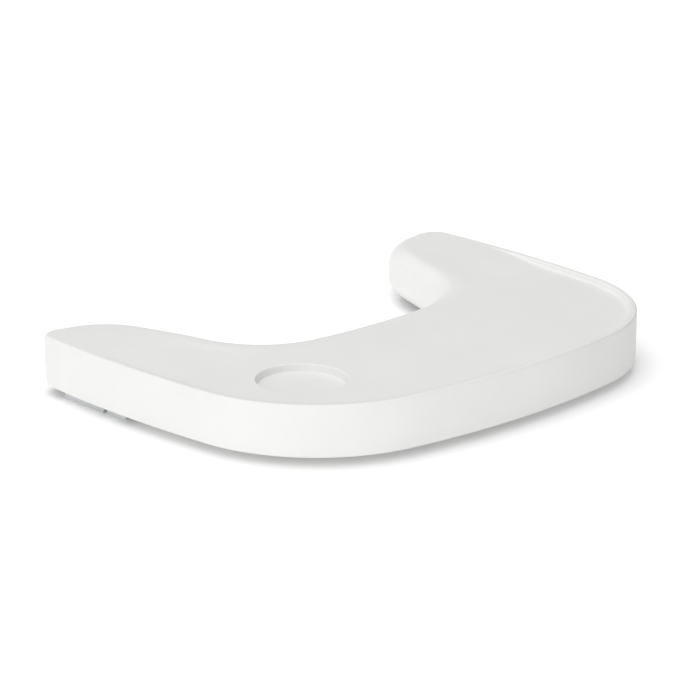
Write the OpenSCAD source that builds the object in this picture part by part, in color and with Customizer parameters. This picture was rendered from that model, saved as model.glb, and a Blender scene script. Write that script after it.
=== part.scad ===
// U-shaped high chair tray that clips onto the two side rails of a chair.
// Origin: centre of the footprint, on the surface that the tray rests on.
// +X is the tray's right, +Y points to the seated child, +Z is up.

/* [Tray] */
// Overall width over both arms
tray_w = 500; // [480:5:520]
// Overall depth, from the front edge to the arm tips
tray_d = 368; // [360:2:376]
// Height of the outer skirt
skirt_h = 46; // [44:1:50]
// Gap between the skirt and the surface that the tray rests on
stand_off = 9; // [8:0.5:10]
// Wall thickness of the mouldings
wall = 3; // [2.5:0.1:3.2]
// Depth of the eating surface below the rim at the front
rim_h = 4; // [2:0.5:6]
// Width of the rim's crest
rim_w = 7; // [5:0.5:9]
// Y of the front edge of the child's cut-out
cutout_y = 15; // [10:1:20]
// Angle by which the arms' inner sides open toward the child
arm_flare = 18.8; // [17:0.2:20]

/* [Cup recess] */
// Diameter of the cup recess
cup_d = 79; // [70:1:84]
// Depth of the cup recess
cup_depth = 6; // [4:0.5:8]
// Position of the cup recess on the tray
cup_pos = [-152, -68];

/* [Rail clip] */
// Distance between the middles of the two chair rails
rail_span = 408; // [404:1:410]
// Diameter of the chair's round rail
rail_d = 22; // [20:0.5:22]
// Height of the rail's axis above the resting surface
rail_z = 19; // [19:0.5:20]
// Thickness of the soft channel liner
liner_t = 2; // [1.5:0.5:2]
// Diameter of the latch pin
pin_d = 4; // [3:0.5:4]
// Radial running clearance of the lever on its pin
pin_clearance = 0.06; // [0.03:0.01:0.1]

/* [Feet and screws] */
// Diameter of the front feet
foot_d = 20; // [16:1:24]
// Shank diameter of the screws
screw_d = 3; // [2.5:0.5:3.5]

/* [Hidden] */

$fn = 64;
past = 1;
white = "white";
pale_grey = "gainsboro";
soft_grey = "darkgray";
steel = "silver";

// Heights
skirt_z = stand_off;
crest_z = stand_off + skirt_h;
floor_z = crest_z - rim_h;

// Arcs of the outline: front edge, front corner, side, tip corner, tip,
// inner corner and the edge at the child
half_w = tray_w / 2;
half_d = tray_d / 2;
front_r = 750;
corner_r = 143;
side_r = 1150;
tip_corner_r = 27;
tip_r = 69;
inner_r = 81;
child_r = 655;
front_c = [0, front_r - half_d];
side_c = [half_w - side_r, 81];
tip_c = [half_w - 28, half_d - tip_r];
child_c = [0, cutout_y + child_r];

// The point at distance ra from a and rb from b, on the given side of the line ab
function meet(a, ra, b, rb, side) =
    let (
        ab = b - a,
        d = norm(ab),
        u = ab / d,
        along = (ra * ra - rb * rb + d * d) / (2 * d),
        across = sqrt(ra * ra - along * along)
    )
    a + along * u + side * across * [-u[1], u[0]];

function heading(v) = atan2(v[1], v[0]);

corner_c = meet(front_c, front_r - corner_r, side_c, side_r - corner_r, 1);
tip_corner_c = meet(side_c, side_r - tip_corner_r, tip_c, tip_r - tip_corner_r, 1);
inner_side = [-cos(arm_flare), sin(arm_flare)];
inner_along = [-sin(arm_flare), -cos(arm_flare)];
inner_line = tip_c + (tip_r + inner_r) * inner_side;
// Distance down the inner side to the middle of the inner corner's arc
to_child = inner_line - child_c;
inner_dot = to_child * inner_along;
inner_run = -inner_dot + sqrt(
    pow(inner_dot, 2) - to_child * to_child + pow(child_r - inner_r, 2));
inner_c = inner_line + inner_run * inner_along;

// Headings at which one arc hands over to the next
corner_a = heading(corner_c - front_c);
side_a = heading(corner_c - side_c);
tip_corner_a = heading(tip_corner_c - side_c);
tip_a = heading(tip_corner_c - tip_c);
inner_a = heading(inner_side);
child_a = heading(inner_c - child_c);

// Points along an arc, without its last one, where the next arc starts
function arc(c, r, from, to, steps) =
    [for (i = [0 : steps - 1]) let (a = from + (to - from) * i / steps) c + r * [cos(a), sin(a)]];

// Right half of the outer edge, every point moved inward by inset
function outer_half(inset) = concat(
    arc(front_c, front_r - inset, -90, corner_a, 5),
    arc(corner_c, corner_r - inset, corner_a, side_a, 14),
    arc(side_c, side_r - inset, side_a, tip_corner_a, 6)
);

// Right half of the whole outline, the child's side moved inward by an amount of its own
function right_half(inset, child_inset) = concat(
    outer_half(inset),
    arc(tip_corner_c, tip_corner_r - inset, tip_corner_a, tip_a, 5),
    arc(tip_c, tip_r - child_inset, tip_a, inner_a, 10),
    arc(inner_c, inner_r + child_inset, inner_a - 180, child_a, 10),
    arc(child_c, child_r + child_inset, child_a, -90, 3),
    [[0, cutout_y - child_inset]]
);

function mirrored(points) =
    [for (i = [len(points) - 1 : -1 : 0]) [-points[i][0], points[i][1]]];

function drop_ends(points) = [for (i = [1 : len(points) - 2]) points[i]];

module outline(inset = 0, child_inset) {
    right = right_half(inset, is_undef(child_inset) ? inset : child_inset);
    polygon(concat(right, drop_ends(mirrored(right))));
}

// Outer arcs only, closed straight across between the arms
module outer_region(inset) {
    right = outer_half(inset);
    left = mirrored(right);
    polygon(concat(right, [for (i = [0 : len(left) - 2]) left[i]]));
}

// Height of the eating surface: low at the front, level with the crest on the arms
ramp_from = 11;
ramp_to = 111;
low = -past;

// Stretches a [y, z] outline across the whole width
module across(points) {
    rotate([90, 0, 90]) linear_extrude(tray_w, center = true) polygon(points);
}

module above_surface() {
    across([
        [-half_d, floor_z], [ramp_from, floor_z], [ramp_to, crest_z],
        [ramp_to, crest_z + past], [-half_d, crest_z + past]
    ]);
}

module below_surface(drop) {
    across([
        [-half_d, low], [-half_d, floor_z - drop], [ramp_from, floor_z - drop],
        [ramp_to, crest_z - drop], [half_d, crest_z - drop], [half_d, low]
    ]);
}

// Places a child on the right arm as drawn, or mirrored onto the left one
module on_side(side) {
    mirror([side < 0 ? 1 : 0, 0, 0]) children();
}

module box(from, to) {
    translate(from) cube(to - from);
}

// A cylinder along Y
module rod(r, x, z, y_from, y_to) {
    translate([x, y_from, z]) rotate([-90, 0, 0]) cylinder(r = r, h = y_to - y_from);
}

// A round-topped channel along Y, open at the bottom
module channel(r, y_from, y_to, z_bottom) {
    rod(r, rail_x, rail_z, y_from, y_to);
    box([rail_x - r, y_from, z_bottom], [rail_x + r, y_to, rail_z]);
}

// Bottom cover
cover_t = 2.5;
cover_z = skirt_z + 2;
cover_top = cover_z + cover_t;
cover_back = 54;
cover_gap = 0.6;
// The child's side rolls under at its foot, so the cover stops further in there
cover_child_gap = 8.6;
cover_screws_at = [[50, -161], [135, -148], [205, -95], [228, -8], [60, -23], [148, 27]];
boss_d = 9;
screw_r = screw_d / 2;
screw_bite = 12;
screw_play = 0.2;
head_r = 3.2;
head_h = 1.8;
feet_at = [110, -131];
foot_sink = 4;
foot_boss_h = 6.5;

// Rail clip
rail_x = rail_span / 2;
rail_r = rail_d / 2;
saddle_r = rail_r + liner_t;
saddle_wall = 3.5;
clip_front = 57;
clip_back = 149;
stop_t = 4;
buffer_t = 3;
plate_z = 34;
plate_t = 3;
plate_top = plate_z + plate_t;
plate_in = 179;
plate_out = 243;
saddle_bottom = 10;
guard_in = 238;
guard_out = 242;
guard_front = 91;
guard_back = 146;
tab_in = 223;
tab_front = 112;
tab_back = 126;
tab_t = 2.5;
strip_t = 2;
// Each screw's X and Y, and the thickness that it clamps below the plate
housing_screws_at = [[184, 67, 0], [184, 134, 0], [231, 119, tab_t]];
rail_way = 1;

// Latch lever, hinged on a pin along Y
pin_x = 226;
pin_z = 23;
pin_r = pin_d / 2;
pin_head_r = 3.4;
pin_head_t = 1.5;
pin_bore_r = pin_r + pin_clearance;
lever_front = 63;
lever_back = 89;
knuckle_r = 4.5;
knuckle_front = 4;
knuckle_back = 8;
ear_t = 4;
ear_gap = 0.5;
ear_x = 231;
ear_z = 17;
ear_front = lever_front - ear_gap - ear_t;
ear_back = lever_back + ear_gap;
blade_in = 236.4;
blade_out = 239.9;
blade_z = 1;
blade_top = 26;
web_z = 20;
hook_tip = 209;
hook_top = 7.7;
hook_low = 4.7;
clip_t = 0.8;

// Pilot holes for a row of screws, open at the bottom and ending at a height
module screw_hole_rows(side, places, top) {
    for (p = places)
        translate([side * p[0], p[1], low]) cylinder(r = screw_r, h = top - low);
}

module top_shell() {
    cup_z = floor_z - cup_depth;
    color(white) difference() {
        union() {
            difference() {
                translate([0, 0, skirt_z]) linear_extrude(skirt_h) outline();
                intersection() {
                    translate([0, 0, low]) linear_extrude(crest_z) outline(wall);
                    below_surface(wall);
                }
                intersection() {
                    translate([0, 0, floor_z]) linear_extrude(rim_h + past) outer_region(rim_w);
                    above_surface();
                }
            }
            intersection() {
                translate([0, 0, cover_top]) linear_extrude(skirt_h) outline(wall / 2);
                below_surface(wall / 2);
                union() {
                    for (side = [-1, 1]) {
                        for (p = cover_screws_at)
                            translate([side * p[0], p[1], cover_top]) cylinder(d = boss_d, h = skirt_h);
                        for (p = housing_screws_at)
                            translate([side * p[0], p[1], plate_top]) cylinder(d = boss_d, h = skirt_h);
                    }
                    translate([cup_pos[0], cup_pos[1], cup_z - wall])
                        cylinder(d = cup_d + 2 * wall, h = cup_depth + wall);
                }
            }
        }
        translate([cup_pos[0], cup_pos[1], cup_z]) cylinder(d = cup_d, h = cup_depth + past, $fn = 96);
        for (side = [-1, 1]) {
            screw_hole_rows(side, cover_screws_at, cover_top + screw_bite);
            screw_hole_rows(side, housing_screws_at, plate_top + screw_bite);
            on_side(side) channel(saddle_r + rail_way, clip_back, half_d + past, low);
        }
    }
}

module bottom_cover() {
    color(white) difference() {
        union() {
            translate([0, 0, cover_z]) linear_extrude(cover_t) intersection() {
                outline(wall + cover_gap, wall + cover_child_gap);
                translate([-half_w, -half_d]) square([tray_w, half_d + cover_back]);
            }
            for (side = [-1, 1])
                translate([side * feet_at[0], feet_at[1], cover_z])
                    cylinder(d = boss_d, h = cover_t + foot_boss_h);
        }
        for (side = [-1, 1]) {
            for (p = cover_screws_at)
                translate([side * p[0], p[1], low]) cylinder(r = screw_r + screw_play, h = skirt_h);
            translate([side * feet_at[0], feet_at[1], low]) cylinder(r = screw_r, h = skirt_h);
        }
    }
}

module clip_housing(side) {
    color(pale_grey) on_side(side) difference() {
        union() {
            box([plate_in, clip_front, plate_z], [plate_out, clip_back, plate_top]);
            box([rail_x - saddle_r - saddle_wall, clip_front, saddle_bottom],
                [rail_x + saddle_r + saddle_wall, clip_back, plate_z]);
        }
        channel(saddle_r, clip_front + stop_t, clip_back + past, low);
        for (p = housing_screws_at)
            translate([p[0], p[1], low]) cylinder(r = screw_r + screw_play, h = skirt_h);
    }
}

// Two ears that carry the lever's pin, moulded onto the housing's side
module clip_ears(side) {
    color(pale_grey) on_side(side) difference() {
        for (y = [ear_front, ear_back])
            box([rail_x + saddle_r + saddle_wall, y, ear_z], [ear_x, y + ear_t, plate_z]);
        rod(pin_r, pin_x, pin_z, ear_front - past, ear_back + ear_t + past);
    }
}

// An L-shaped plate beside the lever, clamped under the housing by its outer screw
module clip_guard(side) {
    clamp = housing_screws_at[2];
    color(pale_grey) on_side(side) difference() {
        union() {
            box([guard_in, guard_front, strip_t], [guard_out, guard_back, plate_z]);
            box([tab_in, tab_front, plate_z - tab_t], [guard_in, tab_back, plate_z]);
        }
        translate([clamp[0], clamp[1], low]) cylinder(r = screw_r + screw_play, h = skirt_h);
    }
}

module rail_liner(side) {
    color(soft_grey) on_side(side) difference() {
        channel(saddle_r, clip_front + stop_t + buffer_t, clip_back, saddle_bottom);
        channel(rail_r, clip_front, clip_back + past, low);
    }
}

module rail_buffer(side) {
    color(soft_grey) on_side(side)
        channel(saddle_r, clip_front + stop_t, clip_front + stop_t + buffer_t, saddle_bottom);
}

module latch_lever(side) {
    knuckles = [[lever_front, lever_front + knuckle_front], [lever_back - knuckle_back, lever_back]];
    color(pale_grey) on_side(side) difference() {
        union() {
            for (span = knuckles) {
                rod(knuckle_r, pin_x, pin_z, span[0], span[1]);
                box([pin_x, span[0], web_z], [blade_out, span[1], blade_top]);
            }
            box([blade_in, lever_front, blade_z], [blade_out, lever_back, blade_top]);
            hook();
        }
        rod(pin_bore_r, pin_x, pin_z, lever_front - past, lever_back + past);
    }
}

// The hook reaches under the rail; a nub on its neck rests against the saddle
module hook() {
    saddle_face = rail_x + saddle_r + saddle_wall;
    neck_x = saddle_face + 2;
    neck_half = 4.2;
    nub_x = saddle_face + 0.3;
    nub_z = 13.5;
    heel = 3;
    nose = 5;
    lip = 0.9;
    translate([0, lever_back, 0]) rotate([90, 0, 0]) linear_extrude(knuckle_back) polygon([
        [pin_x - neck_half, pin_z], [pin_x + neck_half, pin_z], [pin_x + heel, hook_top],
        [pin_x, hook_low], [hook_tip + nose, hook_low], [hook_tip, hook_top - lip], [hook_tip, hook_top],
        [neck_x, hook_top], [neck_x, nub_z - 2], [nub_x, nub_z - 1],
        [nub_x, nub_z + 1], [neck_x, nub_z + 2]
    ]);
}

module lever_grip(side) {
    pad_t = 1.5;
    pad_front = lever_front + 1;
    pad_back = pad_front + 16;
    ridge_h = 0.6;
    ridge_w = 1;
    ridges_z = [4 : 3 : 13];
    color(soft_grey) on_side(side) {
        box([blade_in - pad_t, pad_front, 2], [blade_in, pad_back, 16]);
        for (z = ridges_z)
            box([blade_in - pad_t - ridge_h, pad_front, z], [blade_in - pad_t, pad_back, z + ridge_w]);
    }
}

module latch_pin(side) {
    color(steel) on_side(side) {
        rod(pin_r, pin_x, pin_z, ear_front, ear_back + ear_t + 2 * clip_t);
        rod(pin_head_r, pin_x, pin_z, ear_front - pin_head_t, ear_front);
    }
}

module pin_clip(side) {
    color(steel) on_side(side) difference() {
        rod(pin_head_r, pin_x, pin_z, ear_back + ear_t, ear_back + ear_t + clip_t);
        rod(pin_r, pin_x, pin_z, ear_back, ear_back + ear_t + 2 * clip_t);
    }
}

// Torsion spring: coils round the pin, one leg under the plate, one over the blade
wire_r = 0.5;
coil_r = 3.1;
coil_turns = 6;
coil_steps = 12;
coil_from = 68.2;
coil_to = 79.8;
wire_sides = 6;
leg_reach = 5;

coil_points = [for (i = [0 : coil_turns * coil_steps])
    let (a = 90 - 360 * i / coil_steps, t = i / (coil_turns * coil_steps))
    [pin_x + coil_r * cos(a), coil_from + t * (coil_to - coil_from), pin_z + coil_r * sin(a)]];
spring_route = concat(
    [[pin_x - leg_reach, coil_from, plate_z - 2 * wire_r]],
    coil_points,
    [[blade_out - 2, coil_to, blade_top + 2 * wire_r]]
);

function unit(v) = v / norm(v);

// Rings of points round a route, one ring at each of its points
function rings(route, r, sides) = [for (i = [0 : len(route) - 1])
    let (
        along = unit(route[min(i + 1, len(route) - 1)] - route[max(i - 1, 0)]),
        one = unit(cross(along, [0.05, 1, 0])),
        two = cross(along, one)
    )
    for (k = [0 : sides - 1]) let (a = 360 * k / sides) route[i] + r * (cos(a) * one + sin(a) * two)];

module wire(route, r, sides) {
    last = (len(route) - 1) * sides;
    polyhedron(
        points = rings(route, r, sides),
        faces = concat(
            [[for (k = [sides - 1 : -1 : 0]) k]],
            [[for (k = [0 : sides - 1]) last + k]],
            [for (i = [0 : len(route) - 2], k = [0 : sides - 1])
                let (a = i * sides + k, b = i * sides + (k + 1) % sides)
                [a, b, b + sides, a + sides]]
        )
    );
}

module latch_spring(side) {
    color(steel) on_side(side) wire(spring_route, wire_r, wire_sides);
}

module foot_strip(side) {
    color(soft_grey) on_side(side)
        box([guard_in, guard_front, 0], [guard_out, guard_back, strip_t]);
}

module front_foot(side) {
    foot_r = foot_d / 2;
    color(soft_grey) translate([side * feet_at[0], feet_at[1], 0]) rotate_extrude() polygon([
        [head_r + 0.4, 0], [foot_r - 1, 0], [foot_r, 1], [foot_r - 1, cover_z],
        [screw_r + screw_play, cover_z], [screw_r + screw_play, foot_sink], [head_r + 0.4, foot_sink]
    ]);
}

// Pan-head screw pointing up, with its head's upper face at z
module screw(x, y, z, length) {
    translate([x, y, z - head_h]) cylinder(r = head_r, h = head_h);
    translate([x, y, z]) cylinder(r = screw_r, h = length);
}

module foot_screws() {
    color(steel) for (side = [-1, 1])
        screw(side * feet_at[0], feet_at[1], foot_sink, cover_top + foot_boss_h - foot_sink);
}

module cover_screws() {
    color(steel) for (side = [-1, 1], p = cover_screws_at)
        screw(side * p[0], p[1], cover_z, cover_t + screw_bite - past);
}

module housing_screws(side) {
    color(steel) for (p = housing_screws_at)
        screw(side * p[0], p[1], plate_z - p[2], p[2] + plate_t + screw_bite - past);
}

top_shell();
bottom_cover();
clip_housing(-1);  // clip_housing_left
clip_housing(1);  // clip_housing_right
clip_ears(-1);  // clip_ears_left
clip_ears(1);  // clip_ears_right
clip_guard(-1);  // clip_guard_left
clip_guard(1);  // clip_guard_right
rail_liner(-1);  // rail_liner_left
rail_liner(1);  // rail_liner_right
rail_buffer(-1);  // rail_buffer_left
rail_buffer(1);  // rail_buffer_right
latch_lever(-1);  // latch_lever_left
latch_lever(1);  // latch_lever_right
lever_grip(-1);  // lever_grip_left
lever_grip(1);  // lever_grip_right
latch_pin(-1);  // latch_pin_left
latch_pin(1);  // latch_pin_right
pin_clip(-1);  // pin_clip_left
pin_clip(1);  // pin_clip_right
latch_spring(-1);  // latch_spring_left
latch_spring(1);  // latch_spring_right
foot_strip(-1);  // foot_strip_left
foot_strip(1);  // foot_strip_right
front_foot(-1);  // front_foot_left
front_foot(1);  // front_foot_right
foot_screws();
cover_screws();
housing_screws(-1);  // housing_screws_left
housing_screws(1);  // housing_screws_right
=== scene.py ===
# %% [markdown]
# # A high chair tray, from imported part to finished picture
# The tray is a U of white ABS that clips onto two chair rails. Its clips, feet and screws
# sit underneath. Every size below is in millimetres and turned to metres once, when a mesh
# is made, so the numbers read like the ones on a moulder's drawing.

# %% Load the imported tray
from math import atan2, cos, pi, radians, sin, sqrt

import bmesh
import bpy
from mathutils import Matrix, Vector
from mathutils.geometry import delaunay_2d_cdt


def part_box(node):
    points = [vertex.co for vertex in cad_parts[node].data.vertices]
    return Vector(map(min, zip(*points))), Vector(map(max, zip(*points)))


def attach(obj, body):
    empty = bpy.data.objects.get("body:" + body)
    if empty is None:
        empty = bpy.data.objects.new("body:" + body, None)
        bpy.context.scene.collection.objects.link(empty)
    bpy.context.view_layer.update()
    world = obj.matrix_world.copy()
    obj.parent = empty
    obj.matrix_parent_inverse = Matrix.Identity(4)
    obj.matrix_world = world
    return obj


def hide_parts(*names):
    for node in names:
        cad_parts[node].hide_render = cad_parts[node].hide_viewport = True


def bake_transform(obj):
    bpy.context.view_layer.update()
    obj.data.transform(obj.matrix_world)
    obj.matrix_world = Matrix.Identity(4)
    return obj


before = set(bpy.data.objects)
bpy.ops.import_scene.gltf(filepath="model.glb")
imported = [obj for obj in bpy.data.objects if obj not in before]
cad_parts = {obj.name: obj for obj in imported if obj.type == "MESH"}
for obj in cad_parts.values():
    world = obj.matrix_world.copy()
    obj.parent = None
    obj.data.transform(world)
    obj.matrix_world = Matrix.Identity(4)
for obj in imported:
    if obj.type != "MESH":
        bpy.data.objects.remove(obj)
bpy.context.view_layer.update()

MM = 0.001

# %% [markdown]
# ## The stage
# A product table is a pale sheet lit by large soft boxes. Here a large box hangs over the
# tray, a smaller one lights its front from the left, and a small one stands low on the left.
# The white of the room is brighter on the left too, and a black card on the right holds light
# back from the right corner, so the walls darken from left to right. Two lamps alone could
# light it, but their shadows would be hard. A long lens keeps the tray's sides nearly parallel.

# %% Camera
def stand_camera(aim, azimuth, elevation, distance, lens):
    """Put the camera at a distance from the point it aims at, seen from two angles."""
    a, e = radians(azimuth), radians(elevation)
    back = Vector((sin(a) * cos(e), -cos(a) * cos(e), sin(e)))
    camera = bpy.data.objects.new("camera", bpy.data.cameras.new("camera"))
    camera.location = Vector(aim) + back * distance
    camera.rotation_euler = (pi / 2 - e, 0, a)
    camera.data.lens = lens
    bpy.context.scene.collection.objects.link(camera)
    bpy.context.scene.camera = camera
    return camera


camera = stand_camera(aim=(-0.046, -0.015, 0.040), azimuth=-43.1, elevation=18.2, distance=2.65, lens=153.4)
print("camera at", [round(v, 3) for v in camera.location])

# %% Colours and shader nodes
def linear(code):
    """Turn an sRGB hex colour, such as "E8E8E6", into linear RGBA."""
    def channel(pair):
        value = int(pair, 16) / 255
        return value / 12.92 if value <= 0.04045 else ((value + 0.055) / 1.055) ** 2.4
    return tuple(channel(code[i:i + 2]) for i in (0, 2, 4)) + (1.0,)


def add(material, kind, inputs=None, **settings):
    """Add a shader node: settings are its properties, inputs are values or other sockets."""
    made = material.node_tree.nodes.new(kind)
    for name, value in settings.items():
        setattr(made, name, value)
    for name, value in (inputs or {}).items():
        if isinstance(value, bpy.types.NodeSocket):
            material.node_tree.links.new(value, made.inputs[name])
        else:
            made.inputs[name].default_value = value
    return made


def new_material(name):
    material = bpy.data.materials.new(name)
    material.use_nodes = True
    material.node_tree.nodes.clear()
    return material

# %% Room light, soft box and table
def soft_box(name, place, aim, size, watts):
    data = bpy.data.lights.new(name, "AREA")
    data.shape = "RECTANGLE"
    data.size, data.size_y = size
    data.energy = watts
    lamp = bpy.data.objects.new(name, data)
    lamp.location = place
    lamp.rotation_euler = (Vector(aim) - Vector(place)).to_track_quat("-Z", "Y").to_euler()
    bpy.context.scene.collection.objects.link(lamp)


def room_light(strength, lean):
    """White room light, a little brighter from the left and dimmer from the right."""
    world = bpy.data.worlds.new("room")
    world.use_nodes = True
    tree = world.node_tree
    place = tree.nodes.new("ShaderNodeTexCoord")
    split = tree.nodes.new("ShaderNodeSeparateXYZ")
    level = tree.nodes.new("ShaderNodeMapRange")
    tree.links.new(place.outputs["Generated"], split.inputs["Vector"])
    tree.links.new(split.outputs["X"], level.inputs["Value"])
    level.inputs["From Min"].default_value = -1.0
    level.inputs["From Max"].default_value = 1.0
    level.inputs["To Min"].default_value = strength + lean
    level.inputs["To Max"].default_value = strength - lean
    tree.nodes["Background"].inputs["Color"].default_value = linear("FFFFFF")
    tree.links.new(level.outputs["Result"], tree.nodes["Background"].inputs["Strength"])
    bpy.context.scene.world = world


def table_sheet(half_side):
    paper = new_material("white_paper")
    shader = add(paper, "ShaderNodeBsdfPrincipled", {
        "Base Color": linear("FAFAFA"), "Roughness": 0.9, "Specular IOR Level": 0.1,
        "Emission Color": linear("FFFFFF"), "Emission Strength": 0.12})
    add(paper, "ShaderNodeOutputMaterial", {"Surface": shader.outputs["BSDF"]})
    mesh = bpy.data.meshes.new("table_sheet")
    corners = [(-half_side, -half_side, 0), (half_side, -half_side, 0),
               (half_side, half_side, 0), (-half_side, half_side, 0)]
    mesh.from_pydata(corners, [], [(0, 1, 2, 3)])
    mesh.materials.append(paper)
    sheet = bpy.data.objects.new("table_sheet", mesh)
    bpy.context.scene.collection.objects.link(sheet)


def standing_card(name, place, facing, size, code):
    """An upright card that faces a point; it shapes the light and isn't seen itself."""
    card = new_material(name)
    shader = add(card, "ShaderNodeBsdfPrincipled", {
        "Base Color": linear(code), "Roughness": 0.95, "Specular IOR Level": 0.1})
    add(card, "ShaderNodeOutputMaterial", {"Surface": shader.outputs["BSDF"]})
    along = (Vector(facing) - Vector(place)).cross(Vector((0, 0, 1))).normalized() * size[0] / 2
    foot, up = Vector(place), Vector((0, 0, size[1]))
    mesh = bpy.data.meshes.new(name)
    mesh.from_pydata([foot - along, foot + along, foot + along + up, foot - along + up], [], [(0, 1, 2, 3)])
    mesh.materials.append(card)
    board = bpy.data.objects.new(name, mesh)
    bpy.context.scene.collection.objects.link(board)
    board.visible_camera = False


room_light(strength=0.78, lean=0.52)
soft_box("left_box", place=(-1.05, -0.50, 0.22), aim=(-0.1, -0.1, 0.03), size=(0.5, 0.3), watts=0.45)
soft_box("front_box", place=(-0.75, -1.25, 1.15), aim=(0, 0, 0.03), size=(1.0, 0.8), watts=3.2)
soft_box("top_box", place=(0.5, 0.5, 2.4), aim=(0, 0, 0), size=(2.2, 2.2), watts=22)
standing_card("black_flag", place=(0.50, -0.36, 0.0), facing=(0, 0, 0), size=(0.5, 0.4), code="0A0A0A")
table_sheet(half_side=6.0)
bpy.context.scene.view_settings.view_transform = "Standard"

# %% [markdown]
# ## Materials
# Nearly all of the tray is moulded plastic. A moulding copies its steel mould, so the eye
# sees a fine grain in the gloss, a faint unevenness where the melt cooled, and no seams.
# Those three come from noise at real sizes: it moves the colour a little, the roughness a
# little more, and a bump carries the grain.

# %% Moulded plastics and rubbers
def moulded(name, hex_low, hex_high, ior, roughness, spread, grain_mm, grain_depth_mm, sheen=0.0):
    """A moulded surface: colour drift over about 60 mm, grain of the mould's own size."""
    drift_mm = 60
    material = new_material(name)
    place = add(material, "ShaderNodeTexCoord").outputs["Object"]
    drift = add(material, "ShaderNodeTexNoise", {
        "Vector": place, "Scale": 1 / (drift_mm * MM), "Detail": 3.0})
    grain = add(material, "ShaderNodeTexNoise", {
        "Vector": place, "Scale": 1 / (grain_mm * MM), "Detail": 2.0})
    colour = add(material, "ShaderNodeValToRGB", {"Fac": drift.outputs["Fac"]})
    colour.color_ramp.elements[0].color = linear(hex_low)
    colour.color_ramp.elements[0].position = 0.3
    colour.color_ramp.elements[1].color = linear(hex_high)
    colour.color_ramp.elements[1].position = 0.7
    gloss = add(material, "ShaderNodeMapRange", {
        "Value": grain.outputs["Fac"], "From Min": 0.25, "From Max": 0.75,
        "To Min": roughness - spread, "To Max": roughness + spread})
    bump = add(material, "ShaderNodeBump", {
        "Height": grain.outputs["Fac"], "Strength": 1.0, "Distance": grain_depth_mm * MM})
    shader = add(material, "ShaderNodeBsdfPrincipled", {
        "Base Color": colour.outputs["Color"], "Roughness": gloss.outputs["Result"],
        "Normal": bump.outputs["Normal"], "IOR": ior, "Sheen Weight": sheen})
    add(material, "ShaderNodeOutputMaterial", {"Surface": shader.outputs["BSDF"]})
    return material


# ABS from a polished mould: a soft gloss, and a grain too shallow to dull it
abs_white = moulded("abs_white", "DEDEDC", "E1E1E0", 1.54, 0.36, 0.03, 1.4, 0.004)
# ABS from a spark-eroded mould: the hidden cover is matt, so scuffs don't show
abs_matt = moulded("abs_matt", "D8D8D6", "DDDDDC", 1.54, 0.55, 0.06, 0.8, 0.02)
# Glass-filled nylon: grey, with the slight mottling of its fibres
nylon_grey = moulded("nylon_grey", "C6C8C9", "CDCFD0", 1.53, 0.48, 0.06, 0.9, 0.012)
# Acetal for the levers: slippery, and a shade lighter than the housing
acetal_grey = moulded("acetal_grey", "D6D8D9", "DCDEDF", 1.48, 0.34, 0.04, 1.2, 0.006)
# Thermoplastic elastomer: soft to the hand, so it scatters light at grazing angles
soft_tpe = moulded("soft_tpe", "7A7D80", "82858A", 1.5, 0.72, 0.08, 0.6, 0.02, sheen=0.25)
# Silicone rubber for the feet
silicone = moulded("silicone", "C4C6C7", "CBCDCE", 1.43, 0.62, 0.08, 0.7, 0.015, sheen=0.15)

# %% Steels
def steel(name, hex_low, hex_high, roughness, line_mm, stretch):
    """Drawn or plated steel: fine lines stretched along Y, the way that the wire was drawn."""
    material = new_material(name)
    place = add(material, "ShaderNodeTexCoord").outputs["Object"]
    lines = add(material, "ShaderNodeMapping", {"Vector": place, "Scale": (1.0, stretch, 1.0)})
    scratch = add(material, "ShaderNodeTexNoise", {
        "Vector": lines.outputs["Vector"], "Scale": 1 / (line_mm * MM), "Detail": 4.0})
    colour = add(material, "ShaderNodeValToRGB", {"Fac": scratch.outputs["Fac"]})
    colour.color_ramp.elements[0].color = linear(hex_low)
    colour.color_ramp.elements[1].color = linear(hex_high)
    gloss = add(material, "ShaderNodeMapRange", {
        "Value": scratch.outputs["Fac"], "To Min": roughness - 0.08, "To Max": roughness + 0.08})
    bump = add(material, "ShaderNodeBump", {
        "Height": scratch.outputs["Fac"], "Strength": 0.6, "Distance": 0.003 * MM})
    shader = add(material, "ShaderNodeBsdfPrincipled", {
        "Base Color": colour.outputs["Color"], "Roughness": gloss.outputs["Result"],
        "Normal": bump.outputs["Normal"], "Metallic": 1.0})
    add(material, "ShaderNodeOutputMaterial", {"Surface": shader.outputs["BSDF"]})
    return material


# Bright zinc on the screws and pins; the springs are bare drawn wire
zinc_steel = steel("zinc_steel", "B4B5B4", "D2D3D1", 0.3, 0.5, 1.0)
spring_wire = steel("spring_wire", "8C8D8C", "A9AAA8", 0.28, 0.3, 0.15)
print("materials:", sorted(m.name for m in bpy.data.materials))

# %% [markdown]
# ## The outline
# In plan the tray is a chain of tangent arcs: a shallow front, round front corners, nearly
# straight sides, round arm tips and a wide bay for the child. It could be traced by eye with
# a curve object, but arcs worked out from their radii stay tangent, and moving every arc in
# by the same distance gives a true parallel wall. Each sample therefore keeps its inward
# direction with it, and a wall, fillet or rim is one more ring moved in along it.

# %% Tangent arcs
shell_low, shell_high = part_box("top_shell")
HALF_W = shell_high.x / MM
HALF_D = shell_high.y / MM
CREST_Z = shell_high.z / MM
SKIRT_Z = shell_low.z / MM
RIM_H = 4.0
FLOOR_Z = CREST_Z - RIM_H
WALL = 3.0
FLARE = radians(18.8)
FRONT_R, CORNER_R, SIDE_R, TIP_CORNER_R = 750.0, 143.0, 1150.0, 27.0
TIP_R, INNER_R, CHILD_R = 69.0, 81.0, 655.0
BAY_Y = 15.0


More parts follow.
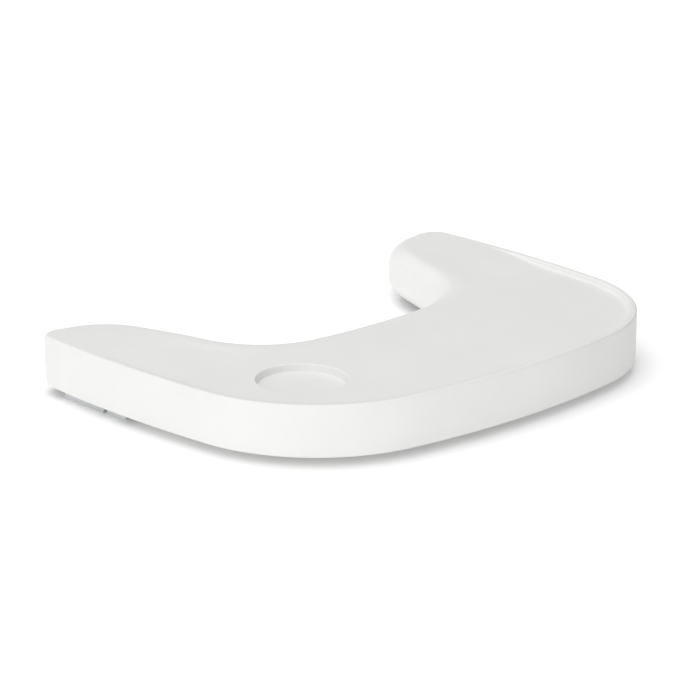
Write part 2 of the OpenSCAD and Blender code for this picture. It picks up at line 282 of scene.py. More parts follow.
def meet(a, ra, b, rb, side):
    """The point at distance ra from a and rb from b, on one side of the line between them."""
    line = b - a
    reach = line.length
    along = (ra * ra - rb * rb + reach * reach) / (2 * reach)
    across = sqrt(ra * ra - along * along)
    unit = line / reach
    return a + along * unit + side * across * Vector((-unit.y, unit.x))


def heading(v):
    return atan2(v.y, v.x)


front_c = Vector((0, FRONT_R - HALF_D))
side_c = Vector((HALF_W - SIDE_R, 81))
tip_c = Vector((HALF_W - 28, HALF_D - TIP_R))
child_c = Vector((0, BAY_Y + CHILD_R))
corner_c = meet(front_c, FRONT_R - CORNER_R, side_c, SIDE_R - CORNER_R, 1)
tip_corner_c = meet(side_c, SIDE_R - TIP_CORNER_R, tip_c, TIP_R - TIP_CORNER_R, 1)
to_bay = Vector((-cos(FLARE), sin(FLARE)))
down_arm = Vector((-sin(FLARE), -cos(FLARE)))
bay_line = tip_c + (TIP_R + INNER_R) * to_bay
from_child = bay_line - child_c
dot = from_child.dot(down_arm)
inner_c = bay_line + down_arm * (-dot + sqrt(dot ** 2 - from_child.length_squared + (CHILD_R - INNER_R) ** 2))
print("corner middle", [round(v, 1) for v in corner_c], "bay corner middle", [round(v, 1) for v in inner_c])

# %% Samples with their inward directions
def arc_samples(c, r, start, end, step, sign, softness):
    """Points along an arc with the direction into the moulding; softness says which edge it has."""
    count = max(2, round(abs(end - start) * r / step))
    for i in range(count):
        t = i / count
        a = start + (end - start) * t
        radial = Vector((cos(a), sin(a)))
        soft = softness[0] + (softness[1] - softness[0]) * t
        yield c + r * radial, -sign * radial, soft


def line_samples(start, end, normal, step):
    count = max(2, round((end - start).length / step))
    for i in range(count):
        yield start.lerp(end, i / count), normal, 1.0


def half_outline(step):
    """Right half, from the middle of the front round to the middle of the child's edge."""
    tip_a, side_a = heading(tip_corner_c - tip_c), heading(corner_c - side_c)
    tip_corner_a, corner_a = heading(tip_corner_c - side_c), heading(corner_c - front_c)
    inner_a, child_a = heading(to_bay), heading(inner_c - child_c)
    arm_top, arm_foot = tip_c + TIP_R * to_bay, inner_c - INNER_R * to_bay
    yield from arc_samples(front_c, FRONT_R, -pi / 2, corner_a, step, 1, (0, 0))
    yield from arc_samples(corner_c, CORNER_R, corner_a, side_a, step, 1, (0, 0))
    yield from arc_samples(side_c, SIDE_R, side_a, tip_corner_a, step, 1, (0, 0))
    yield from arc_samples(tip_corner_c, TIP_CORNER_R, tip_corner_a, tip_a, step / 2, 1, (0, 0.76))
    yield from arc_samples(tip_c, TIP_R, tip_a, inner_a, step, 1, (0.76, 1))
    yield from line_samples(arm_top, arm_foot, -to_bay, step)
    yield from arc_samples(inner_c, INNER_R, inner_a - pi, child_a, step, -1, (1, 1))
    yield from arc_samples(child_c, CHILD_R, child_a, -pi / 2, step, -1, (1, 1))


def whole_outline(step):
    """The closed outline, counter-clockwise from the middle of the front."""
    right = list(half_outline(step))
    flip = Vector((-1, 1))
    left = [(p * flip, n * flip, s) for p, n, s in reversed(right[1:])]
    middle = (Vector((0, BAY_Y)), Vector((0, -1)), 1.0)
    return right + [middle] + left


edge = whole_outline(step=4.0)
print("outline samples:", len(edge))

# %% [markdown]
# ## Rings and fills
# A moulding of even wall is easiest to make as rings: each ring is the outline moved in by
# some distance at some height, and bridging ring to ring makes walls and fillets of clean
# quads. The flat areas between rings are then filled with triangles that leave round holes
# for recesses and bosses. A boolean could cut those holes, but it would leave long thin faces
# that shade badly next to a fillet.

# %% A skin of rings
def smooth(t):
    t = min(1.0, max(0.0, t))
    return t * t * (3 - 2 * t)


class Skin:
    """Vertices and faces of one closed moulding, in millimetres."""

    def __init__(self):
        self.points, self.faces = [], []

    def ring(self, points):
        first = len(self.points)
        self.points.extend(points)
        return list(range(first, len(self.points)))

    def bridge(self, a, b, flip=False):
        for i in range(len(a)):
            j = (i + 1) % len(a)
            quad = (a[i], a[j], b[j], b[i])
            self.faces.append(quad[::-1] if flip else quad)

    def stack(self, rings, flip=False):
        for a, b in zip(rings, rings[1:]):
            self.bridge(a, b, flip)

    def cap(self, ring, flip=False):
        self.faces.append(tuple(ring[::-1] if flip else ring))

    def fill(self, outer, holes, height, spacing, flip=False):
        """Triangles between an outer ring and holes; extra points keep them even in size."""
        loops = [outer] + holes
        used = [i for loop in loops for i in loop]
        flat = [Vector(self.points[i][:2]) for i in used]
        borders, start = [], 0
        for loop in loops:
            borders.append(flat[start:start + len(loop)])
            start += len(loop)
        lines, start = [], 0
        for loop in loops:
            lines += [(start + k, start + (k + 1) % len(loop)) for k in range(len(loop))]
            start += len(loop)
        extra = grid_inside(borders, spacing)
        found, _, triangles, sources, _, _ = delaunay_2d_cdt(flat + extra, lines, [], 0, 1e-5)
        place = []
        for v, source in zip(found, sources):
            if source and source[0] < len(used):
                place.append(used[source[0]])
            else:
                place.append(len(self.points))
                self.points.append((v.x, v.y, height(v.y)))
        for face in triangles:
            middle = sum((found[i] for i in face), Vector((0, 0))) / len(face)
            if inside(middle, borders[0]) and not any(inside(middle, h) for h in borders[1:]):
                ids = tuple(place[i] for i in face)
                self.faces.append(ids[::-1] if flip else ids)


def inside(p, loop):
    """True if a point lies within a closed loop."""
    odd = False
    for a, b in zip(loop, loop[1:] + loop[:1]):
        if (a.y > p.y) != (b.y > p.y) and p.x < a.x + (p.y - a.y) * (b.x - a.x) / (b.y - a.y):
            odd = not odd
    return odd


def grid_inside(borders, spacing):
    """Points on a staggered grid that stand clear of every border."""
    clear = 0.6 * spacing
    points = []
    rows = int(2 * HALF_D / spacing)
    columns = int(2 * HALF_W / spacing)
    near = {}
    for loop in borders:
        for b in loop:
            near.setdefault((round(b.x / spacing), round(b.y / spacing)), []).append(b)
    for j in range(rows + 1):
        for i in range(columns + 1):
            p = Vector((-HALF_W + (i + 0.5 * (j % 2)) * spacing, -HALF_D + j * spacing))
            cell = (round(p.x / spacing), round(p.y / spacing))
            close = [b for dx in (-1, 0, 1) for dy in (-1, 0, 1)
                     for b in near.get((cell[0] + dx, cell[1] + dy), [])]
            if any((p - b).length < clear for b in close):
                continue
            if inside(p, borders[0]) and not any(inside(p, h) for h in borders[1:]):
                points.append(p)
    return points

# %% From a skin to a piece
def closed_solid(name, skin, side=1):
    """An object from a skin, mirrored for the left side, with its faces turned outward."""
    mesh = bpy.data.meshes.new(name)
    mesh.from_pydata([Vector((side * x, y, z)) * MM for x, y, z in skin.points], [], skin.faces)
    mesh.validate()
    work = bmesh.new()
    work.from_mesh(mesh)
    bmesh.ops.recalc_face_normals(work, faces=work.faces)
    open_edges = sum(1 for e in work.edges if len(e.link_faces) != 2)
    work.to_mesh(mesh)
    work.free()
    print(f"{name}: {len(mesh.polygons)} faces, {open_edges} open edges")
    made = bpy.data.objects.new(name, mesh)
    bpy.context.scene.collection.objects.link(made)
    return made


def coat(piece, material, sharp_degrees=38):
    """Shade a piece and give it its material."""
    for polygon in piece.data.polygons:
        polygon.use_smooth = True
    piece.data.set_sharp_from_angle(angle=radians(sharp_degrees))
    piece.data.materials.clear()
    piece.data.materials.append(material)


def finish_piece(piece, material, body, sharp_degrees=38):
    """Coat a piece and let it ride on its body."""
    coat(piece, material, sharp_degrees)
    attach(piece, body)
    return piece


def cut(piece, cutter):
    """Take a cutter's shape out of a piece and throw the cutter away."""
    knife = piece.modifiers.new("cut", "BOOLEAN")
    knife.operation, knife.solver, knife.object = "DIFFERENCE", "EXACT", cutter
    graph = bpy.context.evaluated_depsgraph_get()
    old = piece.data
    piece.data = bpy.data.meshes.new_from_object(piece.evaluated_get(graph))
    piece.modifiers.remove(knife)
    bpy.data.meshes.remove(old)
    bpy.data.objects.remove(cutter)

# %% Loops with rounded corners
def rounded(corners, radius, steps=4):
    """A closed loop whose corners are softened; a corner gets less where its sides are short."""
    points = []
    for i, (x, y) in enumerate(corners):
        p = Vector((x, y))
        before, after = Vector(corners[i - 1]), Vector(corners[(i + 1) % len(corners)])
        reach_in = min(radius, 0.45 * (before - p).length)
        reach_out = min(radius, 0.45 * (after - p).length)
        start, end = p + (before - p).normalized() * reach_in, p + (after - p).normalized() * reach_out
        for k in range(steps + 1):
            t = k / steps
            points.append(start * (1 - t) ** 2 + p * 2 * t * (1 - t) + end * t * t)
    return points


def mitres(loop):
    """The inward direction at each point of a loop, long enough to keep a moved side parallel."""
    area = sum(a.cross(b) for a, b in zip(loop, loop[1:] + loop[:1]))
    turn = 1 if area > 0 else -1
    found = []
    for i, p in enumerate(loop):
        before = (p - loop[i - 1]).normalized()
        after = (loop[(i + 1) % len(loop)] - p).normalized()
        side = Vector((-before.y - after.y, before.x + after.x)) * turn
        found.append(side / max(0.4, 1 + before.dot(after)))
    return found


def along_y(u, v, w):
    return (u, w, v)


def along_z(u, v, w):
    return (u, v, w)


def bar(skin, loop, start, end, edge_r, place):
    """Draw a flat loop out from start to end, with its rims rounded by edge_r."""
    inward = mitres(loop)
    steps = [(start, 1.0), (start + 0.3 * edge_r, 0.3), (start + edge_r, 0.0),
             (end - edge_r, 0.0), (end - 0.3 * edge_r, 0.3), (end, 1.0)]
    rings = []
    for w, share in steps:
        moved = [p + n * edge_r * share for p, n in zip(loop, inward)]
        rings.append(skin.ring([place(q.x, q.y, w) for q in moved]))
    skin.stack(rings)
    skin.cap(rings[0], flip=True)
    skin.cap(rings[-1])


def lathe(skin, profile, place, count=48, bore=False):
    """Turn (radius, height) points about an axis; a bored piece closes on itself, not at caps."""
    rings = []
    for r, h in profile:
        rings.append(skin.ring([place(r * cos(2 * pi * i / count), r * sin(2 * pi * i / count), h)
                                for i in range(count)]))
    skin.stack(rings)
    if bore:
        skin.bridge(rings[-1], rings[0])
    else:
        skin.cap(rings[0], flip=True)
        skin.cap(rings[-1])

# %% [markdown]
# ## The top shell
# This is the piece that the eye lands on: one moulding, open underneath. Going round its
# edge, the outer side has a small fillet, a narrow crest and an S-shaped step down to the
# eating surface, and that step dies away along the arms. The tips and the child's side have
# no rim: there the surface rolls over a wide fillet, and the wall curves in again at its
# foot, so that nothing hard meets the child. One profile does both, because its fillet and
# its tuck follow each sample's softness.

# %% Heights and edge profile of the shell
RAMP_FROM, RAMP_TO = 6.0, 106.0
HARD_FILLET, SOFT_FILLET = 1.6, 18.0
CREST_FLAT, STEP_RUN, LEAD_IN = 3.6, 3.6, 1.6
BOTTOM_EDGE = 0.5
TUCK, TUCK_H = 10.0, 15.0


def surface_z(y):
    """Eating surface: below the crest at the front, level with it on the arms."""
    return FLOOR_Z + RIM_H * smooth((y - RAMP_FROM) / (RAMP_TO - RAMP_FROM))


def edge_ring(skin, place):
    """A ring round the outline; place gives each sample's distance in and its height."""
    points = []
    for p, normal, soft in edge:
        inset, z = place(p, soft)
        q = p + normal * inset
        points.append((q.x, q.y, z))
    return skin.ring(points)


def wall_ring(skin, inset, rise):
    """A ring on the wall, at a height above its foot, that follows the tuck."""
    left = max(0.0, 1 - rise / TUCK_H)
    return edge_ring(skin, lambda p, s: (inset + TUCK * smooth(s) * left ** 2, SKIRT_Z + rise))


def top_z(p, soft):
    """Height of the edge: the crest outside, the eating surface at the child."""
    return CREST_Z + (surface_z(p.y) - CREST_Z) * smooth(soft)


def fillet_radius(soft):
    return HARD_FILLET + (SOFT_FILLET - HARD_FILLET) * smooth(soft)


WALL_RISES = (BOTTOM_EDGE, 2, 4, 6.5, 9, 12, TUCK_H, 21)


def outer_rings(skin):
    rings = [wall_ring(skin, BOTTOM_EDGE, 0), wall_ring(skin, 0.3 * BOTTOM_EDGE, 0.3 * BOTTOM_EDGE)]
    rings += [wall_ring(skin, 0.0, rise) for rise in WALL_RISES]
    turns = 14
    for k in range(turns + 1):
        a = pi / 2 * k / turns
        rings.append(edge_ring(skin, lambda p, s, a=a: (
            fillet_radius(s) * (1 - cos(a)), top_z(p, s) - fillet_radius(s) * (1 - sin(a)))))
    steps = 10
    for k in range(1, steps + 1):
        t = k / steps
        # Two quarter circles make the step: out over the crest, then into the surface
        fall = 0.5 * (1 - sqrt(1 - (2 * t) ** 2)) if t < 0.5 else 0.5 * (1 + sqrt(1 - (2 - 2 * t) ** 2))
        rings.append(edge_ring(skin, lambda p, s, t=t, f=fall: (
            fillet_radius(s) + CREST_FLAT + STEP_RUN * t,
            top_z(p, s) + (surface_z(p.y) - top_z(p, s)) * f)))
    rings.append(edge_ring(skin, lambda p, s: (
        fillet_radius(s) + CREST_FLAT + STEP_RUN + LEAD_IN, surface_z(p.y))))
    return rings

# %% Cup recess
CUP_X, CUP_Y = -152.0, -68.0
CUP_R, CUP_DEPTH = 39.5, 6.0


def circle_ring(skin, x, y, r, z, count):
    turns = [2 * pi * i / count for i in range(count)]
    return skin.ring([(x + r * cos(a), y + r * sin(a), z) for a in turns])


def recess(skin):
    """Rings down into the cup recess; returns the first ring, for the surface to meet."""
    rim, foot, draft, count = 0.9, 0.9, 1.9, 96
    path = [(CUP_R + rim + 1.0, 0.0)]
    path += [(CUP_R + rim * (1 - sin(a)), -rim * (1 - cos(a))) for a in (pi / 2 * k / 6 for k in range(7))]
    path += [(CUP_R - draft - foot * (1 - cos(a)), -CUP_DEPTH + foot * (1 - sin(a)))
             for a in (pi / 2 * k / 8 for k in range(9))]
    path += [(r, -CUP_DEPTH) for r in (32, 26, 20, 14, 8, 3)]
    rings = [circle_ring(skin, CUP_X, CUP_Y, r, FLOOR_Z + z, count) for r, z in path]
    skin.stack(rings)
    skin.cap(rings[-1])
    return rings[0]

# %% Underside of the shell: inner wall, ceiling and bosses
def ceiling_z(y):
    return surface_z(y) - WALL


def boss(skin, x, y, base_z, bore_r=1.5, outer_r=4.5, bite=12.0, count=24):
    """A screw boss hanging from the ceiling; returns the ring where it leaves the ceiling."""
    top = ceiling_z(y)
    path = [(outer_r + 1.0, top), (outer_r + 0.35, top - 0.35), (outer_r, top - 1.0),
            (outer_r, base_z + 0.4), (outer_r - 0.4, base_z), (bore_r + 0.5, base_z),
            (bore_r, base_z + 0.5), (bore_r, base_z + bite)]
    rings = [circle_ring(skin, x, y, r, z, count) for r, z in path]
    skin.stack(rings)
    skin.cap(rings[-1])
    return rings[0]


def cup_underside(skin, count=72):
    """The recess seen from below: a shallow drum with a soft lower edge."""
    r, top, base = CUP_R + WALL, ceiling_z(CUP_Y), FLOOR_Z - CUP_DEPTH - WALL
    path = [(r + 1.5, top), (r + 0.45, top - 0.45), (r, top - 1.5), (r, base + 2), (r - 0.6, base + 0.6),
            (r - 2, base), (r - 12, base), (r - 24, base), (6, base)]
    rings = [circle_ring(skin, CUP_X, CUP_Y, max(rad, 6), z, count) for rad, z in path]
    skin.stack(rings)
    skin.cap(rings[-1])
    return rings[0]


def cove_radius(soft):
    """The inside corner runs parallel to the fillet outside, a wall's thickness away."""
    return max(2.0, fillet_radius(soft) - WALL)


def inner_rings(skin):
    rings = [wall_ring(skin, WALL - BOTTOM_EDGE, 0)]
    rings += [wall_ring(skin, WALL, rise) for rise in WALL_RISES]
    for k in range(7):
        a = pi / 2 * k / 6
        rings.append(edge_ring(skin, lambda p, s, a=a: (
            WALL + cove_radius(s) * (1 - cos(a)), ceiling_z(p.y) - cove_radius(s) * (1 - sin(a)))))
    rings.append(edge_ring(skin, lambda p, s: (WALL + cove_radius(s) + 1.0, ceiling_z(p.y))))
    return rings

# %% Make the shell
COVER_TOP, PLATE_TOP = 13.5, 37.0
COVER_SCREWS = [(50, -161), (135, -148), (205, -95), (228, -8), (60, -23), (148, 27)]
HOUSING_SCREWS = [(184, 67), (184, 134), (231, 119)]
RAIL_X, RAIL_Z = 204.0, 19.0
NOTCH_R, NOTCH_FROM = 14.0, 149.0


def both_sides(places):
    return [(side * x, y) for side in (-1, 1) for x, y in places]


def shell_skin():
    skin = Skin()
    outer = outer_rings(skin)
    skin.stack(outer)
    skin.fill(outer[-1], [recess(skin)], surface_z, 9.0)
    inner = inner_rings(skin)
    skin.stack(inner, flip=True)
    holes = [cup_underside(skin)]
    holes += [boss(skin, x, y, COVER_TOP) for x, y in both_sides(COVER_SCREWS)]
    holes += [boss(skin, x, y, PLATE_TOP) for x, y in both_sides(HOUSING_SCREWS)]
    skin.fill(inner[-1], holes, ceiling_z, 10.0, flip=True)
    skin.bridge(inner[0], outer[0])
    return skin


def arch(r, low_z, steps=28):
    """A round-topped channel over the rail, as a loop in X and Z."""
    turns = [pi * k / steps for k in range(steps + 1)]
    top = [Vector((RAIL_X + r * cos(a), RAIL_Z + r * sin(a))) for a in turns]
    return top + [Vector((RAIL_X - r, low_z)), Vector((RAIL_X + r, low_z))]


top_shell = closed_solid("tray_shell", shell_skin())
for side in (-1, 1):
    notch = Skin()
    bar(notch, arch(NOTCH_R, SKIRT_Z - 5), NOTCH_FROM, HALF_D + 5, 0.2, along_y)
    cut(top_shell, closed_solid("notch", notch, side))
finish_piece(top_shell, abs_white, "tray")
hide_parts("top_shell")

# %% [markdown]
# ## The bottom cover
# The wide hollow under the eating surface is closed by a flat matt sheet, held by twelve
# screws, so that food can't collect in it. A flat sheet that size would drum, so a shallow
# bead runs round it. It is a plate with holes: two filled faces joined by its rim and by the
# walls of its holes. Cutting the holes with booleans would work too, but each ring here also
# gets its own softened rim.

# %% Bottom cover
COVER_Z, COVER_BACK = 11.0, 54.0
COVER_IN, COVER_CHILD_IN = 3.6, 11.6
BEAD_IN, BEAD_CHILD_IN, BEAD_W, BEAD_DEPTH = 26.5, 46.0, 3.0, 0.8
FOOT_BOSS_TOP = 20.0
FEET = [(110, -131)]


def cover_loop(side_in, child_in, back):
    """The outline moved in, further at the child than outside, and cut straight at the back."""
    whole = [p + n * (side_in + (child_in - side_in) * smooth(s)) for p, n, s in edge]
    loop = []
    for a, b in zip(whole, whole[1:] + whole[:1]):
        if a.y < back:
            loop.append(a)
        if (a.y < back) != (b.y < back):
            loop.append(a.lerp(b, (back - a.y) / (b.y - a.y)))
    return loop


def loop_ring(skin, loop, inset, z):
    return skin.ring([(p.x + n.x * inset, p.y + n.y * inset, z) for p, n in zip(loop, mitres(loop))])


def hole_rings(skin, x, y, r, path):
    rings = [circle_ring(skin, x, y, r + more, z, 24) for more, z in path]
    skin.stack(rings)
    return rings[0], rings[-1]


def cover_skin():
    skin = Skin()
    soft = 0.5
    rim = cover_loop(COVER_IN, COVER_CHILD_IN, COVER_BACK)
    rims = [loop_ring(skin, rim, inset, z) for inset, z in (
        (soft, COVER_Z), (0.3 * soft, COVER_Z + 0.3 * soft), (0, COVER_Z + soft),
        (0, COVER_TOP - soft), (soft, COVER_TOP))]
    skin.stack(rims)
    bead = cover_loop(BEAD_IN, BEAD_CHILD_IN, COVER_BACK - BEAD_IN)
    beads = [loop_ring(skin, bead, inset, COVER_Z + rise) for inset, rise in (
        (0, 0), (0.25 * BEAD_W, BEAD_DEPTH), (0.75 * BEAD_W, BEAD_DEPTH), (BEAD_W, 0))]
    skin.stack(beads)
    plain = [(0.4, COVER_Z), (0, COVER_Z + 0.4), (0, COVER_TOP - 0.4), (0.4, COVER_TOP)]
    bossed = [(0.4, COVER_Z), (0, COVER_Z + 0.4), (0, FOOT_BOSS_TOP - 0.4), (0.4, FOOT_BOSS_TOP),
              (2.6, FOOT_BOSS_TOP), (3, FOOT_BOSS_TOP - 0.4), (3, COVER_TOP + 1), (4, COVER_TOP)]
    holes = [((x, y), hole_rings(skin, x, y, 1.7, plain)) for x, y in both_sides(COVER_SCREWS)]
    holes += [((x, y), hole_rings(skin, x, y, 1.5, bossed)) for x, y in both_sides(FEET)]
    in_bead = [inside(Vector(at), bead) for at, _ in holes]
    outer_holes = [rings[0] for (_, rings), within in zip(holes, in_bead) if not within]
    inner_holes = [rings[0] for (_, rings), within in zip(holes, in_bead) if within]
    skin.fill(rims[0], [beads[0]] + outer_holes, lambda y: COVER_Z, 12.0)
    skin.fill(beads[-1], inner_holes, lambda y: COVER_Z, 12.0)
    skin.fill(rims[-1], [rings[1] for _, rings in holes], lambda y: COVER_TOP, 12.0)
    return skin


cover = closed_solid("bottom_sheet", cover_skin())
finish_piece(cover, abs_matt, "tray")
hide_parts("bottom_cover")

# %% [markdown]
# ## The rail clips
# Under each arm a nylon housing drops over the chair's rail, and a sprung acetal lever hooks
# under it. These are working parts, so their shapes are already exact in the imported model.
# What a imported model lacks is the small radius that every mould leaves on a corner, and
# without it no edge catches the light. So each one is copied, its flat faces are joined up
# again, and its sharp edges are bevelled; the fits stay as they were.

# %% Copies with softened edges
def softened(name, node, edge_mm, material, body, least_degrees=30):
    """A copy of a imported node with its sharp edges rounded, in place of that node."""
    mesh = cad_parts[node].data.copy()
    mesh.name = name
    work = bmesh.new()
    work.from_mesh(mesh)
    bmesh.ops.remove_doubles(work, verts=work.verts, dist=0.002 * MM)
    bmesh.ops.dissolve_limit(work, angle_limit=radians(1), verts=work.verts, edges=work.edges)
    least = radians(least_degrees)
    sharp = [e for e in work.edges if len(e.link_faces) == 2 and e.calc_face_angle(0) > least]
    bmesh.ops.bevel(work, geom=sharp, offset=edge_mm * MM, offset_type="OFFSET", segments=2,
                    profile=0.5, affect="EDGES", clamp_overlap=True)
    bmesh.ops.recalc_face_normals(work, faces=work.faces)
    work.to_mesh(mesh)
    work.free()
    made = bpy.data.objects.new(name, mesh)
    bpy.context.scene.collection.objects.link(made)
    print(f"{name}: {len(mesh.polygons)} faces, {len(sharp)} edges softened")
    finish_piece(made, material, body, sharp_degrees=50)
    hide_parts(node)
    return made


SIDES = {"left": -1, "right": 1}
for side in SIDES:
    softened(f"clip_body_{side}", f"clip_housing_{side}", 0.5, nylon_grey, "tray")
    softened(f"hinge_ears_{side}", f"clip_ears_{side}", 0.4, nylon_grey, "tray")
    softened(f"guard_plate_{side}", f"clip_guard_{side}", 0.5, nylon_grey, "tray")
    softened(f"release_lever_{side}", f"latch_lever_{side}", 0.35, acetal_grey, f"latch_{side}")
    softened(f"thumb_pad_{side}", f"lever_grip_{side}", 0.2, soft_tpe, f"latch_{side}")

# %% [markdown]
# ## Soft channel liner, buffer and feet
# The steel rail would rattle in hard nylon, so a soft elastomer sleeve lines the channel, and
# fine ribs along it let the tray slide on while still gripping. Its section is one loop: an
# outer arch that fits the housing and an inner arch whose radius waves by a third of a
# millimetre. Drawing that loop out along the rail gives every rib at once.

# %% Channel liner and buffer
SADDLE_R, RAIL_R, SADDLE_BOTTOM = 13.0, 11.0, 10.0
BUFFER_FROM, LINER_FROM, LINER_TO = 61.0, 64.0, 149.0


def liner_loop(ribs=22, wave=0.35, steps=110):
    turns = [pi * k / 36 for k in range(37)]
    outer = [(RAIL_X + SADDLE_R * cos(a), RAIL_Z + SADDLE_R * sin(a)) for a in turns]
    inner = []
    for k in range(steps, -1, -1):
        a = pi * k / steps
        r = RAIL_R + wave * (0.5 - 0.5 * cos(2 * ribs * a))
        inner.append((RAIL_X + r * cos(a), RAIL_Z + r * sin(a)))
    foot = [(RAIL_X - SADDLE_R, SADDLE_BOTTOM), (RAIL_X - RAIL_R, SADDLE_BOTTOM)]
    other_foot = [(RAIL_X + RAIL_R, SADDLE_BOTTOM), (RAIL_X + SADDLE_R, SADDLE_BOTTOM)]
    return [Vector(p) for p in outer + foot + inner + other_foot]


for side, sign in SIDES.items():
    liner = Skin()
    bar(liner, liner_loop(), LINER_FROM, LINER_TO, 0.25, along_y)
    sleeve = closed_solid(f"soft_sleeve_{side}", liner, sign)
    finish_piece(sleeve, soft_tpe, "tray", 60)
    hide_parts(f"rail_liner_{side}")
    buffer = Skin()
    bar(buffer, rounded([p.to_tuple() for p in arch(SADDLE_R, SADDLE_BOTTOM)], 0.6, 2),
        BUFFER_FROM, LINER_FROM, 0.5, along_y)
    pad = closed_solid(f"end_buffer_{side}", buffer, sign)
    finish_piece(pad, soft_tpe, "tray")
    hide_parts(f"rail_buffer_{side}")

# %% Front feet and foot strips
FOOT_R, FOOT_SINK, HEAD_R = 10.0, 4.0, 3.2


def foot_skin(x, y):
    """A round foot with a sunk screw and three grooves in its sole, which keep it from sliding."""
    sole = [(HEAD_R + 0.6, 0.0)]
    for r in (5.0, 6.2, 7.4):
        sole += [(r, 0.0), (r + 0.2, 0.5), (r + 0.5, 0.5), (r + 0.7, 0.0)]
    side_wall = [(FOOT_R - 1.3, 0.0), (FOOT_R - 0.5, 0.25), (FOOT_R - 0.08, 0.8), (FOOT_R, 1.2),
                 (FOOT_R - 0.25, 3.6), (FOOT_R - 0.9, COVER_Z - 0.5), (FOOT_R - 1.4, COVER_Z)]
    bore = [(1.8, COVER_Z), (1.7, COVER_Z - 0.2), (1.7, FOOT_SINK),
            (HEAD_R + 0.4, FOOT_SINK), (HEAD_R + 0.4, 0.2)]
    skin = Skin()
    lathe(skin, sole + side_wall + bore, lambda u, v, h: (x + u, y + v, h), 64, bore=True)
    return skin


GUARD_IN, GUARD_OUT, GUARD_FRONT, GUARD_BACK, STRIP_T = 238.0, 242.0, 91.0, 146.0, 2.0
strip_loop = [(GUARD_IN, STRIP_T), (GUARD_IN, 0.0), (GUARD_IN + 0.8, 0.0), (GUARD_IN + 1.3, 0.4),
              (GUARD_IN + 1.8, 0.0), (GUARD_OUT - 1.8, 0.0), (GUARD_OUT - 1.3, 0.4), (GUARD_OUT - 0.8, 0.0),
              (GUARD_OUT, 0.0), (GUARD_OUT, STRIP_T)]
for side, sign in SIDES.items():
    foot = closed_solid(f"round_foot_{side}", foot_skin(*FEET[0]), sign)
    finish_piece(foot, silicone, "tray", 50)
    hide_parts(f"front_foot_{side}")
    strip = Skin()
    bar(strip, rounded(strip_loop, 0.3, 2), GUARD_FRONT, GUARD_BACK, 0.35, along_y)
    sole = closed_solid(f"sole_strip_{side}", strip, sign)
    finish_piece(sole, silicone, "tray", 50)
    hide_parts(f"foot_strip_{side}")

# %% [markdown]
# ## Pins, clips and springs
# Each lever turns on a headed steel pin that a spring clip holds in the housing's ears. A pin
# is a turned part, so a lathe of its profile is the natural tool. The torsion spring is one
# wire: coils round the pin, one leg under the plate and one over the lever. A curve object
# with a bevel could draw it; a tube swept along worked-out points keeps its ends exact. As
# the lever turns, each coil winds a little further than the one before; here the wire is
# made once, in its resting shape, and stays fixed where it is made.

# %% Latch pins and their clips
PIN_X, PIN_Z, PIN_R = 226.0, 23.0, 2.0
PIN_FRONT, PIN_BACK, CLIP_T = 58.5, 93.5, 0.8


def pin_skin():
    head_r, head_t = 3.4, 1.5
    front, back = PIN_FRONT - head_t, PIN_BACK + 2 * CLIP_T
    profile = [(0.6, front), (head_r - 1.0, front + 0.08), (head_r - 0.35, front + 0.3),
               (head_r, front + 0.7), (head_r, PIN_FRONT - 0.15), (head_r - 0.15, PIN_FRONT),
               (PIN_R, PIN_FRONT), (PIN_R, back - 0.5), (PIN_R - 0.5, back), (0.5, back)]
    skin = Skin()
    lathe(skin, profile, lambda u, v, h: (PIN_X + u, h, PIN_Z + v), 40)
    return skin


def clip_loop(open_half=0.6, steps=48):
    """An E-shaped ring: three lobes touch the pin, and a mouth lets it snap on from the side."""
    outer, inner = [], []
    for k in range(steps + 1):
        a = open_half + (2 * pi - 2 * open_half) * k / steps
        lobe = 0.5 + 0.5 * cos(3 * (a - pi))
        r = PIN_R + 0.02 + 0.5 * (1 - lobe)
        outer.append((PIN_X + 3.4 * cos(a), PIN_Z + 3.4 * sin(a)))
        inner.append((PIN_X + r * cos(a), PIN_Z + r * sin(a)))
    return [Vector(p) for p in outer + inner[::-1]]


for side, sign in SIDES.items():
    pin = closed_solid(f"hinge_pin_{side}", pin_skin(), sign)
    finish_piece(pin, zinc_steel, "tray")
    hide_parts(f"latch_pin_{side}")
    clip = Skin()
    bar(clip, clip_loop(), PIN_BACK, PIN_BACK + CLIP_T, 0.1, along_y)
    ring = closed_solid(f"e_clip_{side}", clip, sign)
    finish_piece(ring, spring_wire, "tray")
    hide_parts(f"pin_clip_{side}")

# %% Torsion springs
WIRE_R, COIL_R, TURNS = 0.5, 3.1, 6
COIL_FROM, COIL_TO = 68.2, 79.8
PLATE_LOW, BLADE_TOP, BLADE_OUT, LEG_REACH = 34.0, 26.0, 239.9, 5.0


def tube(skin, route, r, sides=12):
    """A round wire along a route, its rings square to the wire."""
    rings = []
    for i, p in enumerate(route):
        along = (route[min(i + 1, len(route) - 1)] - route[max(i - 1, 0)]).normalized()
        one = along.cross(Vector((0.05, 1, 0))).normalized()
        two = along.cross(one)
        turn = [2 * pi * k / sides for k in range(sides)]
        rings.append(skin.ring([tuple(p + r * (cos(a) * one + sin(a) * two)) for a in turn]))
    skin.stack(rings)
    skin.cap(rings[0], flip=True)
    skin.cap(rings[-1])


